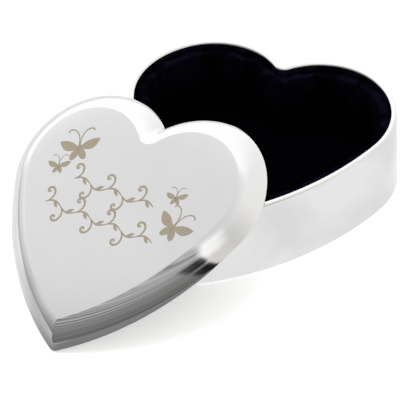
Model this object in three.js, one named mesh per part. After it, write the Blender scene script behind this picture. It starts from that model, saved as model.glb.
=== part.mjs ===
// A heart-shaped trinket box in plated metal with a loose lift-off lid.
//
// The box stands on the table with its lobes to +Y and its point to -Y, and the origin is the centre of
// its underside. The lid is off: it leans on the box with its own point on the table.
// Millimetres, +Z up.

import * as THREE from "three";
import { mergeVertices } from "three/addons/utils/BufferGeometryUtils.js";

// ---- Driving dimensions ----

// Heart outline of the box, measured over its outer face.
const BOX_WIDTH = 90;
const BOX_LENGTH = 85.66;
const LOBE_RADIUS = 26.32;
const SIDE_TANGENT_ANGLE = THREE.MathUtils.degToRad(20.63); // where the lobe arc runs into the side arc
const POINT_RADIUS = 1.4; // rounding of the heart's point
const CLEFT_RADIUS = 1.6; // fillet between the two lobes

// Box body.
const RIM_HEIGHT = 28.04; // table to rim
const WALL_THICKNESS = 1.9;
const RIM_ROUNDING = 0.45;
const FOOT_RISE = 0.4; // wall's lower edge above the table, so that the box rests on its felt
const FELT_THICKNESS = 1.0;
const BASE_THICKNESS = 1.2;

// Lining of the box: card, foam and velvet, round the wall and on the floor.
const CARD_THICKNESS = 1.0;
const WALL_FOAM_THICKNESS = 1.6;
const FLOOR_FOAM_THICKNESS = 2.0;
const VELVET_THICKNESS = 0.6;
const LINING_DROP = 2.6; // rim down to the top of the wall lining

// Lid.
const LID_OVERHANG = 1.14; // lid outline beyond the box outline
const LID_SHEET = 0.8;
const LID_HEM_HEIGHT = 0.9; // straight lower edge of the lid
const LID_BORDER_WIDTH = 6; // rounded border, in plan
const LID_BORDER_RISE = 5.8; // lower edge up to the start of the flat face
const LID_DOME_RISE = 0.6; // how far the middle of the face stands above its border
const LID_DOME_INSET = 14; // from the lid outline in to the top of the dome
const LID_BORDER_STEPS = 5;
const SEAT_DEPTH = 0.6; // how far the lid's edge drops over the rim when it is closed
const COLLAR_THICKNESS = 0.9;
const COLLAR_DROP = 2.0; // collar below the lid's lower edge
const LID_CARD_THICKNESS = 0.5;
const LID_VELVET_THICKNESS = 0.5;

// Clearances.
const GAP = 0.3; // between neighbouring pieces
const COLLAR_CLEARANCE = 0.35; // collar inside the wall when the lid is closed
const TABLE_GAP = 0.05; // under the leaning lid
const LEAN_GAP = 0.4; // between the leaning lid and the rim under it

// How the lid leans: where its point stands, measured from the box's point, and how it is turned.
const LEAN_POINT_X = -31.82;
const LEAN_POINT_Y = -41.36;
const LEAN_TURN = THREE.MathUtils.degToRad(-7.71); // about the vertical
const LEAN_ROLL = THREE.MathUtils.degToRad(-8.49); // about its own length
const LEAN_STEEPEST = THREE.MathUtils.degToRad(60);
const LEAN_SEARCH_STEPS = 24;
const RIM_POINT_SPACING = 0.6;

// Fineness of curves: the chord's greatest distance from its arc.
const CHORD_ERROR = 0.06;

// ---- Heart outline ----

// The heart is symmetric about x = 0. Each half has a lobe arc and a flatter side arc, tangent to each
// other; a small arc rounds the point and another fills the cleft.
const lobeX = BOX_WIDTH / 2 - LOBE_RADIUS;
const lobeY = BOX_LENGTH / 2 - LOBE_RADIUS;
const pointY = -BOX_LENGTH / 2;

// The side arc's circle touches the lobe's circle and the small circle of the point.
function sideCircle() {
  const direction = new THREE.Vector2(Math.cos(SIDE_TANGENT_ANGLE), -Math.sin(SIDE_TANGENT_ANGLE));
  const fromPoint = new THREE.Vector2(lobeX, lobeY - (pointY + POINT_RADIUS));
  const lobeReach = LOBE_RADIUS - POINT_RADIUS;
  const along = fromPoint.dot(direction);
  const extra = (fromPoint.lengthSq() - lobeReach * lobeReach) / (2 * (along + lobeReach));
  return {
    radius: LOBE_RADIUS + extra,
    centre: new THREE.Vector2(lobeX, lobeY).addScaledVector(direction, -extra),
  };
}
const side = sideCircle();

function arcPoints(centre, radius, from, to, pieces) {
  const clockwise = to < from;
  return new THREE.ArcCurve(centre.x, centre.y, radius, from, to, clockwise).getPoints(pieces);
}

function arcPieces(radius, angle) {
  const step = 2 * Math.acos(1 - CHORD_ERROR / radius);
  return Math.max(3, Math.ceil(Math.abs(angle) / step));
}

// Angle from one centre towards another.
function angleTo(from, to) {
  return Math.atan2(to.y - from.y, to.x - from.x);
}

// The heart's outline moved outwards by offset (inwards when negative), anticlockwise from the point.
// Every offset has the same number of points, so outlines can be joined ring to ring.
function heart(offset) {
  const lobeCentre = new THREE.Vector2(lobeX, lobeY);
  const lobeRadius = LOBE_RADIUS + offset;
  const sideRadius = side.radius + offset;
  const pointRadius = Math.max(POINT_RADIUS + offset, GAP);
  const cleftRadius = Math.max(CLEFT_RADIUS - offset, GAP);

  const pointDrop = Math.sqrt((sideRadius - pointRadius) ** 2 - side.centre.x ** 2);
  const pointCentre = new THREE.Vector2(0, side.centre.y - pointDrop);
  const cleftRise = Math.sqrt((lobeRadius + cleftRadius) ** 2 - lobeX ** 2);
  const cleftCentre = new THREE.Vector2(0, lobeY + cleftRise);

  const sideStart = angleTo(side.centre, pointCentre);
  const lobeEnd = angleTo(lobeCentre, cleftCentre);
  const cleftStart = angleTo(cleftCentre, lobeCentre);
  const right = [
    ...arcPoints(pointCentre, pointRadius, -Math.PI / 2, sideStart, pieces.point),
    ...arcPoints(side.centre, sideRadius, sideStart, -SIDE_TANGENT_ANGLE, pieces.side).slice(1),
    ...arcPoints(lobeCentre, lobeRadius, -SIDE_TANGENT_ANGLE, lobeEnd, pieces.lobe).slice(1),
    ...arcPoints(cleftCentre, cleftRadius, cleftStart, -Math.PI / 2, pieces.cleft).slice(1),
  ];
  const left = right.slice(1, -1).reverse();
  return [...right, ...left.map((p) => new THREE.Vector2(-p.x, p.y))];
}
const pieces = {
  point: 3,
  side: arcPieces(side.radius, Math.PI / 6),
  lobe: arcPieces(LOBE_RADIUS, Math.PI),
  cleft: 4,
};

// ---- Solids ----

// A profile is a list of [offset from the heart outline, height]. It is drawn round the outline as one
// ring of points for each entry.
function profileRings(profile) {
  const rings = profile.map(([offset, z]) => heart(offset).map((p) => [p.x, p.y, z]));
  return { rings, count: rings[0].length };
}

function skin(rings, count, closed) {
  const triangles = [];
  const last = closed ? rings.length : rings.length - 1;
  for (let k = 0; k < last; k++) {
    const next = (k + 1) % rings.length;
    for (let i = 0; i < count; i++) {
      const j = (i + 1) % count;
      const [a, b] = [k * count + i, k * count + j];
      const [c, d] = [next * count + j, next * count + i];
      triangles.push(a, b, c, a, c, d);
    }
  }
  return triangles;
}

function closedGeometry(rings, triangles) {
  const geometry = new THREE.BufferGeometry();
  geometry.setAttribute("position", new THREE.Float32BufferAttribute(rings.flat(2), 3));
  geometry.setIndex(triangles);
  const merged = mergeVertices(geometry);
  merged.computeVertexNormals();
  return merged;
}

// A hoop: the profile closes on itself and the middle is open.
// The profile runs up its outer side and down its inner side.
function hoop(profile) {
  const { rings, count } = profileRings(profile);
  return closedGeometry(rings, skin(rings, count, true));
}

// A body capped by the whole heart at the profile's two ends.
// The first entry's cap faces down and the last entry's cap faces up.
function capped(profile) {
  const { rings, count } = profileRings(profile);
  const triangles = skin(rings, count, false);
  const first = heart(profile[0][0]);
  const last = heart(profile[profile.length - 1][0]);
  const lastStart = (rings.length - 1) * count;
  for (const [a, b, c] of THREE.ShapeUtils.triangulateShape(first, [])) {
    triangles.push(a, c, b);
  }
  for (const [a, b, c] of THREE.ShapeUtils.triangulateShape(last, [])) {
    triangles.push(lastStart + a, lastStart + b, lastStart + c);
  }
  return closedGeometry(rings, triangles);
}

// A flat heart-shaped plate.
function plate(offset, bottom, thickness) {
  return capped([
    [offset, bottom],
    [offset, bottom + thickness],
  ]);
}

// A plain upright band following the outline.
function band(outer, thickness, bottom, top) {
  return hoop([
    [outer - thickness, bottom],
    [outer, bottom],
    [outer, top],
    [outer - thickness, top],
  ]);
}

// ---- Materials ----

function material(color, roughness, metalness) {
  return new THREE.MeshStandardMaterial({ color, roughness, metalness });
}
const plating = () => material(0xe6e6e4, 0.06, 1);
const velvet = () => material(0x0b0918, 0.95, 0);
const felt = () => material(0x15131f, 1, 0);
const card = () => material(0x8f8a80, 0.9, 0);
const foam = () => material(0xd9d6cc, 0.95, 0);

function named(name, geometry, finish) {
  const mesh = new THREE.Mesh(geometry, finish);
  mesh.name = name;
  return mesh;
}

// ---- Box ----

const wallInside = -WALL_THICKNESS;
const wallCardOuter = wallInside - GAP;
const wallFoamOuter = wallCardOuter - CARD_THICKNESS - GAP;
const wallVelvetOuter = wallFoamOuter - WALL_FOAM_THICKNESS - GAP;
const floorOuter = wallVelvetOuter - VELVET_THICKNESS - GAP;

const baseBottom = FELT_THICKNESS + GAP;
const floorBottom = baseBottom + BASE_THICKNESS + GAP;
const liningTop = RIM_HEIGHT - LINING_DROP;
const liningCardTop = liningTop - VELVET_THICKNESS - GAP;

function boxWall() {
  return hoop([
    [wallInside, FOOT_RISE],
    [0, FOOT_RISE],
    [0, RIM_HEIGHT - RIM_ROUNDING],
    [-RIM_ROUNDING, RIM_HEIGHT],
    [wallInside + RIM_ROUNDING, RIM_HEIGHT],
    [wallInside, RIM_HEIGHT - RIM_ROUNDING],
  ]);
}

// Velvet down the inside of the wall, turned outwards over the card and foam at the top.
function wallVelvet() {
  return hoop([
    [wallVelvetOuter - VELVET_THICKNESS, floorBottom],
    [wallVelvetOuter, floorBottom],
    [wallVelvetOuter, liningTop - VELVET_THICKNESS],
    [wallCardOuter, liningTop - VELVET_THICKNESS],
    [wallCardOuter, liningTop],
    [wallVelvetOuter - VELVET_THICKNESS, liningTop],
  ]);
}

function makeBox() {
  const floorFoamBottom = floorBottom + CARD_THICKNESS + GAP;
  const floorVelvetBottom = floorFoamBottom + FLOOR_FOAM_THICKNESS + GAP;
  const box = new THREE.Group();
  box.add(
    named("box_wall", boxWall(), plating()),
    named("base_felt", plate(wallInside - GAP, 0, FELT_THICKNESS), felt()),
    named("base_plate", plate(wallInside - GAP, baseBottom, BASE_THICKNESS), plating()),
    named("wall_card", band(wallCardOuter, CARD_THICKNESS, floorBottom, liningCardTop), card()),
    named("wall_foam", band(wallFoamOuter, WALL_FOAM_THICKNESS, floorBottom, liningCardTop), foam()),
    named("wall_velvet", wallVelvet(), velvet()),
    named("floor_card", plate(floorOuter, floorBottom, CARD_THICKNESS), card()),
    named("floor_foam", plate(floorOuter, floorFoamBottom, FLOOR_FOAM_THICKNESS), foam()),
    named("floor_velvet", plate(floorOuter, floorVelvetBottom, VELVET_THICKNESS), velvet()),
  );
  return box;
}

// ---- Lid, in its own frame: z = 0 is the plane of its lower edge ----

const skirtInside = LID_OVERHANG - LID_SHEET;
const collarOuter = wallInside - COLLAR_CLEARANCE;
const collarInner = collarOuter - COLLAR_THICKNESS;
const ceiling = LID_BORDER_RISE - LID_SHEET;
const borderInner = LID_OVERHANG - LID_BORDER_WIDTH;

// The rounded border as a quarter of an ellipse, from its lower edge up to the face.
function border(outer, width, bottom, top) {
  const curve = new THREE.EllipseCurve(outer - width, bottom, width, top - bottom, 0, Math.PI / 2);
  return curve.getPoints(LID_BORDER_STEPS).map((p) => [p.x, p.y]);
}

function lidShell() {
  const outside = border(LID_OVERHANG, LID_BORDER_WIDTH, LID_HEM_HEIGHT, LID_BORDER_RISE);
  const inside = border(skirtInside, LID_BORDER_WIDTH - LID_SHEET, LID_HEM_HEIGHT, ceiling);
  return capped([
    ...inside.reverse(),
    [skirtInside, 0],
    [LID_OVERHANG, 0],
    ...outside,
    [LID_OVERHANG - LID_DOME_INSET, LID_BORDER_RISE + LID_DOME_RISE],
  ]);
}

// An upright collar that drops inside the box's wall, with a flange that sits on the rim.
function lidCollar() {
  const flangeOuter = skirtInside - GAP;
  const flangeTop = SEAT_DEPTH + COLLAR_THICKNESS;
  return hoop([
    [collarInner, -COLLAR_DROP],
    [collarOuter, -COLLAR_DROP],
    [collarOuter, SEAT_DEPTH],
    [flangeOuter, SEAT_DEPTH],
    [flangeOuter, flangeTop],
    [collarInner, flangeTop],
  ]);
}

const lidCardTop = ceiling - GAP;
const lidCardBottom = lidCardTop - LID_CARD_THICKNESS;
const lidVelvetBottom = lidCardBottom - GAP - LID_VELVET_THICKNESS;

function makeLid() {
  const liningOuter = Math.min(collarInner, borderInner) - GAP;
  const lid = new THREE.Group();
  lid.add(
    named("lid_shell", lidShell(), plating()),
    named("lid_collar", lidCollar(), plating()),
    named("lid_card", plate(liningOuter, lidCardBottom, LID_CARD_THICKNESS), card()),
    named("lid_velvet", plate(liningOuter, lidVelvetBottom, LID_VELVET_THICKNESS), velvet()),
  );
  return lid;
}

// ---- Leaning the lid ----

// Whether a point in plan lies inside a closed outline.
function insideOutline(outline, x, y) {
  let inside = false;
  outline.forEach((p, i) => {
    const q = outline[(i + 1) % outline.length];
    const crosses = p.y > y !== q.y > y;
    if (crosses && x < p.x + ((q.x - p.x) * (y - p.y)) / (q.y - p.y)) {
      inside = !inside;
    }
  });
  return inside;
}

// Both edges of the rim, with points close enough together to meet every edge of the lid.
function rimPoints() {
  const points = [];
  for (const offset of [0, wallInside]) {
    const outline = heart(offset);
    outline.forEach((p, i) => {
      const q = outline[(i + 1) % outline.length];
      const parts = Math.ceil(p.distanceTo(q) / RIM_POINT_SPACING);
      for (let part = 0; part < parts; part++) {
        points.push(p.clone().lerp(q, part / parts));
      }
    });
  }
  return points;
}

// The lid's underside in steps from the middle out: the lining, the collar and the lower edge.
const undersideSteps = [
  { outline: heart(collarInner - GAP), depth: lidVelvetBottom },
  { outline: heart(collarOuter + GAP), depth: -COLLAR_DROP },
  { outline: heart(LID_OVERHANG + GAP), depth: 0 },
];

// Height of the lid's underside over a point of the rim, or infinite where the lid doesn't cover it.
function undersideHeight(stand, lid, point) {
  const normal = new THREE.Vector3(0, 0, 1).applyQuaternion(stand.quaternion);
  const vertical = new THREE.Line3();
  const plane = new THREE.Plane();
  const hit = new THREE.Vector3();
  for (const { outline, depth } of undersideSteps) {
    const onPlane = stand.position.clone().addScaledVector(normal, depth);
    plane.setFromNormalAndCoplanarPoint(normal, onPlane);
    vertical.start.set(point.x, point.y, -BOX_WIDTH);
    vertical.end.set(point.x, point.y, BOX_WIDTH * 2);
    if (!plane.intersectLine(vertical, hit)) {
      continue;
    }
    const height = hit.z;
    const local = lid.worldToLocal(hit);
    if (insideOutline(outline, local.x, local.y)) {
      return height;
    }
  }
  return Infinity;
}

// Turns the lid to an angle of lean, with its lowest corner just above the table.
function standAt(stand, lean) {
  stand.rotation.set(lean, LEAN_ROLL, LEAN_TURN, "ZXY");
  stand.position.set(LEAN_POINT_X, pointY + LEAN_POINT_Y, 0);
  const lowest = new THREE.Box3().setFromObject(stand, true).min.z;
  stand.position.z = TABLE_GAP - lowest;
  stand.updateMatrixWorld(true);
}

// The lid leans until it only just clears the rim all the way round, found by halving.
function leanLid(lid) {
  const stand = new THREE.Group();
  const lidPoint = heart(LID_OVERHANG)[0];
  lid.position.set(-lidPoint.x, -lidPoint.y, 0);
  stand.add(lid);
  const rim = rimPoints();
  const clears = (point) => undersideHeight(stand, lid, point) > RIM_HEIGHT + LEAN_GAP;
  let [flat, steep] = [0, LEAN_STEEPEST];
  for (let step = 0; step < LEAN_SEARCH_STEPS; step++) {
    const lean = (flat + steep) / 2;
    standAt(stand, lean);
    if (rim.every(clears)) {
      steep = lean;
    } else {
      flat = lean;
    }
  }
  standAt(stand, steep);
  return stand;
}

const trinketBox = new THREE.Group();
trinketBox.add(makeBox(), leanLid(makeLid()));

export default trinketBox;
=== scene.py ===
"""A heart-shaped trinket box in polished silver plate, with a gathered velvet lining and a loose lid.

Every length is in metres. The box stands on z = 0 with its point towards -Y; the lid leans on it, and
its own frame (x across, y from the point to the cleft, z out of its face) is read off the packed model.
"""

import math

import bpy
import numpy as np
from mathutils import Matrix, Vector
from mathutils.geometry import tessellate_polygon


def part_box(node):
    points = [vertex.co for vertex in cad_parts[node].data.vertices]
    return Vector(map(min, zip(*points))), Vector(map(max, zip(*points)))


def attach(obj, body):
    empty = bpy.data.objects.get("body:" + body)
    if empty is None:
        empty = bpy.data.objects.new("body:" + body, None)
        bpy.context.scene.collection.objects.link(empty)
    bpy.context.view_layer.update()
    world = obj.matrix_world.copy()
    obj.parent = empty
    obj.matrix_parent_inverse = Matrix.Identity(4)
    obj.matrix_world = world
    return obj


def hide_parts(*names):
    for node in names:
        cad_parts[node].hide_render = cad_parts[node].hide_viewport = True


bl_info = {
    "name": "Heart trinket box",
    "version": (1, 0, 0),
    "blender": (4, 5, 0),
    "location": "3D View > Sidebar > Trinket box",
    "description": "Builds a heart-shaped trinket box with a velvet lining and a loose engraved lid",
    "category": "Object",
}

MM = 0.001
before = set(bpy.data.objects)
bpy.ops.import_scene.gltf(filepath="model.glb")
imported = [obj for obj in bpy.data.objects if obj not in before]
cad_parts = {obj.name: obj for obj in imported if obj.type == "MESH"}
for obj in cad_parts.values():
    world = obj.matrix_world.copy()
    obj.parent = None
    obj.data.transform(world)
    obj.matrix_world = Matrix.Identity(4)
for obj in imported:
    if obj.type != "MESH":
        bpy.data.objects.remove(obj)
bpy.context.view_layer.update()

wall_low, wall_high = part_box("box_wall")
felt_low, felt_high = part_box("base_felt")
base_low, base_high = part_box("base_plate")
lining_low, lining_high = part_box("wall_velvet")
_, floor_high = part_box("floor_velvet")
foam_low, foam_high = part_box("floor_foam")
CLEAR_OF_FLOOR = 2 * MM  # from the floor's foam up to where the wall lining swells and its painted shade starts to lighten


# ---- Settings ----


def length(name, description, default):
    return bpy.props.FloatProperty(
        name=name, description=description, default=default, unit="LENGTH", subtype="DISTANCE", precision=5
    )


def angle(name, description, degrees):
    return bpy.props.FloatProperty(
        name=name,
        description=description,
        default=math.radians(degrees),
        unit="ROTATION",
        subtype="ANGLE",
    )


def color(name, description, default):
    return bpy.props.FloatVectorProperty(
        name=name, description=description, default=default, size=3, min=0, max=1, subtype="COLOR"
    )


def factor(name, description, default, high=1.0):
    return bpy.props.FloatProperty(
        name=name, description=description, default=default, min=0, max=high, subtype="FACTOR"
    )


class HeartOutline(bpy.types.PropertyGroup):
    """The heart that every piece follows: two lobe arcs, two side arcs, a rounded point and a cleft."""

    width: length("Width", "Box width over its outer face", wall_high.x - wall_low.x + 0.02 * MM)
    span: length("Length", "Lobes to point over the outer face", wall_high.y - wall_low.y + 0.03 * MM)
    lobe_radius: length("Lobe radius", "Radius of the two round lobes", 26.32 * MM)
    side_angle: angle("Side angle", "Where the lobe arc runs into the side arc", 20.63)
    point_radius: length("Point radius", "Rounding of the point", 1.4 * MM)
    cleft_radius: length("Cleft radius", "Fillet between the lobes", 1.6 * MM)


class MetalWork(bpy.types.PropertyGroup):
    """Sheet metal of the box and the lid."""

    wall: length("Wall", "Thickness of the box wall at its rolled rim", 1.9 * MM)
    rim_rounding: length("Rim rounding", "Radius along the rim's two edges", 0.7 * MM)
    overhang: length("Lid overhang", "Lid outline beyond the box outline", 1.14 * MM)
    sheet: length("Lid sheet", "Thickness of the pressed lid", 0.8 * MM)
    hem: length("Hem", "Straight lower edge of the lid", 0.55 * MM)
    groove: length("Groove", "Depth of the line above the hem", 0.12 * MM)
    border_width: length("Border width", "Rounded border of the lid in plan", 7.5 * MM)
    border_rise: length("Border rise", "Lower edge to the flat face", 5.8 * MM)
    border_top: angle("Border top", "Slope of the border where the face begins", 10)
    border_foot: angle("Border foot", "Slope of the border above the hem", 64)
    dome_rise: length("Dome rise", "Middle of the face above its border", 0.45 * MM)
    edge_fall: length("Edge fall", "Extra fall of the face close to its border", 0.2 * MM)
    collar: length("Collar", "Thickness of the locating collar", 0.9 * MM)
    collar_drop: length("Collar drop", "Collar below the lid's edge", 2 * MM)
    seat: length("Seat", "Depth of the flange that sits on the rim", 0.6 * MM)
    clearance: length("Collar clearance", "Collar inside the box wall", 0.35 * MM)
    plate_color: color("Plate", "Polished silver plate", (0.8, 0.8, 0.8))
    inner_color: color("Inner plate", "Plain plated metal inside the lid", (0.62, 0.62, 0.6))


class LiningWork(bpy.types.PropertyGroup):
    """Velvet, foam and felt."""

    # velvet_color is the lit pile; deep in the box the pile is painted at 0.12 of it, as painted shade
    velvet_color: color("Velvet", "Ground colour of the pile", (0.004, 0.0031, 0.0088))
    pile_glow: color("Pile glow", "Light caught by the ends of the pile", (0.2, 0.18, 0.42))
    felt_color: color("Felt", "Felt under the box", (0.012, 0.011, 0.02))
    puckers: bpy.props.IntProperty(
        name="Puckers", description="Gathers round the wall lining", default=27, min=8, max=120
    )
    pucker_depth: length("Pucker depth", "Depth of the gathers", 0.95 * MM)
    pad_swell: length("Pad swell", "How far the stuffed pads may swell", 0.9 * MM)


class LidMotif(bpy.types.PropertyGroup):
    """Matt engraving on the lid."""

    mark_color: color("Marking", "Matt engraved metal", (0.335, 0.29, 0.215))
    stroke: length("Stroke", "Widest stroke of the scrolls", 0.62 * MM)
    proud: length("Height", "Marking above the polished face", 0.03 * MM)


class Studio(bpy.types.PropertyGroup):
    """Floor, light and camera."""

    floor_color: color("Floor", "Pale floor", (0.93, 0.93, 0.93))
    table_glow: factor("Table glow", "Light from inside the table top", 0.5, 5)
    surround: factor("Surround", "Strength of the white surround", 1.0, 5)
    key: bpy.props.FloatProperty(
        name="Key light", description="Power of the overhead softbox", default=9, min=0, unit="POWER"
    )
    azimuth: angle("Azimuth", "Camera round the box", 25.843)
    elevation: angle("Elevation", "Camera above the horizon", 42.863)
    roll: angle("Roll", "Camera about its own axis", -5.286)
    distance: length("Distance", "Camera to the point that it looks at", 765.5 * MM)
    lens: bpy.props.FloatProperty(
        name="Lens", description="Focal length", default=214.73, min=10, unit="CAMERA"
    )


# ---- Heart outline ----


def arc(centre, radius, start, end, steps):
    """Points on an arc, without its last one."""
    t = np.linspace(start, end, steps, endpoint=False)
    return np.c_[centre[0] + radius * np.cos(t), centre[1] + radius * np.sin(t)]


class Heart:
    """The outline at any offset, with the same number of points each time, anticlockwise from the point."""

    POINT_STEPS, SIDE_STEPS, LOBE_STEPS, CLEFT_STEPS = 5, 36, 84, 8
    SHARPEST = 0.3 * MM

    def __init__(self, s):
        self.s = s
        self.lobe = np.array([s.width / 2 - s.lobe_radius, s.span / 2 - s.lobe_radius])
        direction = np.array([math.cos(s.side_angle), -math.sin(s.side_angle)])
        from_point = self.lobe - np.array([0, s.point_radius - s.span / 2])
        reach = s.lobe_radius - s.point_radius
        extra = (from_point @ from_point - reach**2) / (2 * (from_point @ direction + reach))
        self.side_radius = s.lobe_radius + extra
        self.side = self.lobe - extra * direction

    def outline(self, offset, pinch=0.0):
        """pinch is taken off the cleft's radius, so that it is narrower than at a plain offset."""
        s = self.s
        lobe_radius, side_radius = s.lobe_radius + offset, self.side_radius + offset
        point_radius = max(s.point_radius + offset, self.SHARPEST)
        cleft_radius = max(s.cleft_radius - offset - pinch, self.SHARPEST)
        drop = math.sqrt((side_radius - point_radius) ** 2 - self.side[0] ** 2)
        point = np.array([0, self.side[1] - drop])
        rise = math.sqrt((lobe_radius + cleft_radius) ** 2 - self.lobe[0] ** 2)
        cleft = np.array([0, self.lobe[1] + rise])
        to_point, to_cleft = point - self.side, cleft - self.lobe
        side_start = math.atan2(to_point[1], to_point[0])
        lobe_end = math.atan2(to_cleft[1], to_cleft[0])
        right = np.vstack(
            [
                arc(point, point_radius, -math.pi / 2, side_start, self.POINT_STEPS),
                arc(self.side, side_radius, side_start, -s.side_angle, self.SIDE_STEPS),
                arc(self.lobe, lobe_radius, -s.side_angle, lobe_end, self.LOBE_STEPS),
                arc(cleft, cleft_radius, lobe_end - math.pi, -math.pi / 2, self.CLEFT_STEPS),
                [[0, cleft[1] - cleft_radius]],
            ]
        )
        left = right[1:-1][::-1] * [-1, 1]
        return np.vstack([right, left])

    def even(self, offset, count):
        """The outline as count points the same distance apart."""
        loop = self.outline(offset)
        loop = np.vstack([loop, loop[:1]])
        along = np.r_[0, np.cumsum(np.linalg.norm(np.diff(loop, axis=0), axis=1))]
        at = np.linspace(0, along[-1], count, endpoint=False)
        return np.c_[np.interp(at, along, loop[:, 0]), np.interp(at, along, loop[:, 1])]


FACES_UP = 0.8  # least z of the normals on the upper side of the leaning card


def lid_place():
    """The lid's own frame as a matrix, read off its packed pieces."""
    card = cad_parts["lid_card"].data
    up_faces = [p for p in card.polygons if p.normal.z > FACES_UP]
    normal = sum((p.normal * p.area for p in up_faces), Vector()).normalized()
    area = sum(p.area for p in up_faces)
    centre = sum((p.center * p.area for p in up_faces), Vector()) / area
    corners = [card.vertices[i].co for p in up_faces for i in p.vertices]
    tip = max(corners, key=lambda v: (v - centre).length)
    along = centre - tip
    along = (along - along.dot(normal) * normal).normalized()
    across = along.cross(normal)
    shell = [v.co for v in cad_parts["lid_shell"].data.vertices]
    heart = Heart(bpy.context.scene.heart_outline)
    tip_y = heart.outline(bpy.context.scene.metal_work.overhang)[0][1]
    x = sum(v.dot(across) for v in (tip, centre)) / 2
    y = min(v.dot(along) for v in shell) - tip_y
    z = min(v.dot(normal) for v in shell)
    origin = across * x + along * y + normal * z
    return frame_matrix(across, along, normal, origin)


def frame_matrix(x, y, z, origin):
    made = Matrix((x, y, z)).transposed().to_4x4()
    made.translation = origin
    return made


# ---- Mesh building ----


def add_object(name, points, faces, material, place=None, sharp=30, creases=()):
    """A mesh object. creases are ranges of points, one ring each, whose edges stay crisp."""
    mesh = bpy.data.meshes.new(name)
    mesh.from_pydata([tuple(p) for p in points], [], [tuple(f) for f in faces])
    mesh.validate()
    if place is not None:
        mesh.transform(place)
    mesh.shade_smooth()
    mesh.set_sharp_from_angle(angle=math.radians(sharp))
    if creases:
        crisp = mesh.attributes["sharp_edge"].data
        for edge in mesh.edges:
            a, b = edge.vertices
            if any(a in ring and b in ring for ring in creases):
                crisp[edge.index].value = True
    mesh.materials.append(material)
    made = bpy.data.objects.new(name, mesh)
    bpy.context.scene.collection.objects.link(made)
    return made


def belong(piece, body, slot, *nodes):
    """Puts a finished piece on its body and hides the packed pieces that it stands for. slot is not used."""
    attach(piece, body)
    if nodes:
        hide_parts(*nodes)


def ring_points(outline, z):
    heights = np.full(len(outline), z) if np.isscalar(z) else z
    return np.c_[outline, heights]


def skin(ring_count, size, closed):
    """Quads between rings of points that run anticlockwise, facing out where the rings go up."""
    faces = []
    for k in range(ring_count if closed else ring_count - 1):
        a, b = k * size, (k + 1) % ring_count * size
        faces += [(a + i, a + (i + 1) % size, b + (i + 1) % size, b + i) for i in range(size)]
    return faces


def hoop(heart, profile):
    """A closed band: the profile of (offset, z) goes up the outside and down the inside."""
    rings = [ring_points(heart.outline(offset), z) for offset, z in profile]
    return np.vstack(rings), skin(len(rings), len(rings[0]), True)


def capped(heart, profile, top=None, bottom=None, steps=10):
    """A body whose profile ends in whole hearts: the first cap faces down and the last one up."""
    rings = [ring_points(heart.outline(offset), z) for offset, z in profile]
    return close_caps(rings, top, bottom, steps)


def close_caps(rings, top=None, bottom=None, steps=10):
    """Closes rings at both ends. top and bottom give the level of each cap at (x, y)."""
    size = len(rings[0])
    low, low_middle = cap_rings(rings[0], bottom, steps)
    high, high_middle = cap_rings(rings[-1], top, steps)
    rings = low[::-1] + list(rings) + high
    points = np.vstack([*rings, low_middle, high_middle])
    faces = skin(len(rings), size, False)
    below, above = len(points) - 2, len(points) - 1
    last = (len(rings) - 1) * size
    faces += [(below, (i + 1) % size, i) for i in range(size)]
    faces += [(above, last + i, last + (i + 1) % size) for i in range(size)]
    return points, faces


def cap_rings(ring, height, steps):
    """Rings that shrink from an edge to its middle. height(x, y) gives their level."""

    def flat_level(x, y):
        return np.full(np.shape(x), ring[0][2])

    level = height or flat_level
    centre = ring[:, :2].mean(axis=0)
    shares = np.linspace(1, 0, steps, endpoint=False)[1:]
    made = []
    for share in shares:
        flat = centre + share * (ring[:, :2] - centre)
        made.append(ring_points(flat, level(flat[:, 0], flat[:, 1])))
    return made, np.array([[*centre, float(level(centre[0], centre[1]))]])


def round_corner(offset, z, radius, start, steps=5):
    """A quarter round in a profile, anticlockwise from the angle start, as (offset, z) pairs."""
    turn = np.linspace(start, start + math.pi / 2, steps + 1)
    return [(offset + radius * math.cos(t), z + radius * math.sin(t)) for t in turn]


# ---- Shader effects shared by several materials ----


def new_group(name, inputs, outputs):
    group = bpy.data.node_groups.new(name, "ShaderNodeTree")
    for label, kind, default in inputs:
        socket = group.interface.new_socket(label, in_out="INPUT", socket_type=kind)
        if default is not None:
            socket.default_value = default
    for label, kind in outputs:
        group.interface.new_socket(label, in_out="OUTPUT", socket_type=kind)
    return group, group.nodes.new("NodeGroupInput"), group.nodes.new("NodeGroupOutput")


def feed(tree, socket, value):
    """Links a value to a socket, or sets the socket to it."""
    if isinstance(value, bpy.types.NodeSocket):
        tree.links.new(value, socket)
    else:
        socket.default_value = value


def node(tree, kind, settings=None, **inputs):
    made = tree.nodes.new(kind)
    for key, value in (settings or {}).items():
        setattr(made, key, value)
    for key, value in inputs.items():
        feed(tree, made.inputs[key.replace("_", " ")], value)
    return made


def maths(tree, operation, a, b=0.0):
    made = node(tree, "ShaderNodeMath", {"operation": operation})
    for socket, value in zip(made.inputs, (a, b)):
        feed(tree, socket, value)
    return made.outputs[0]


def remap(tree, value, from_low, from_high, to_low, to_high):
    limits = {"From_Min": from_low, "From_Max": from_high, "To_Min": to_low, "To_Max": to_high}
    return node(tree, "ShaderNodeMapRange", Value=value, **limits).outputs["Result"]


def blend(tree, share, a, b):
    made = node(tree, "ShaderNodeMix")
    for socket, value in zip((made.inputs[0], made.inputs[2], made.inputs[3]), (share, a, b)):
        feed(tree, socket, value)
    return made.outputs[0]


def blend_color(tree, share, a, b):
    made = node(tree, "ShaderNodeMix", {"data_type": "RGBA"})
    for socket, value in zip((made.inputs[0], made.inputs[6], made.inputs[7]), (share, a, b)):
        feed(tree, socket, value)
    return made.outputs[2]


def noise(tree, place, scale, detail, **more):
    return node(tree, "ShaderNodeTexNoise", Vector=place, Scale=scale, Detail=detail, **more).outputs["Fac"]


def stretch(tree, place, scale, turn):
    made = node(tree, "ShaderNodeMapping", Vector=place, Scale=scale, Rotation=turn)
    return made.outputs["Vector"]


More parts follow.
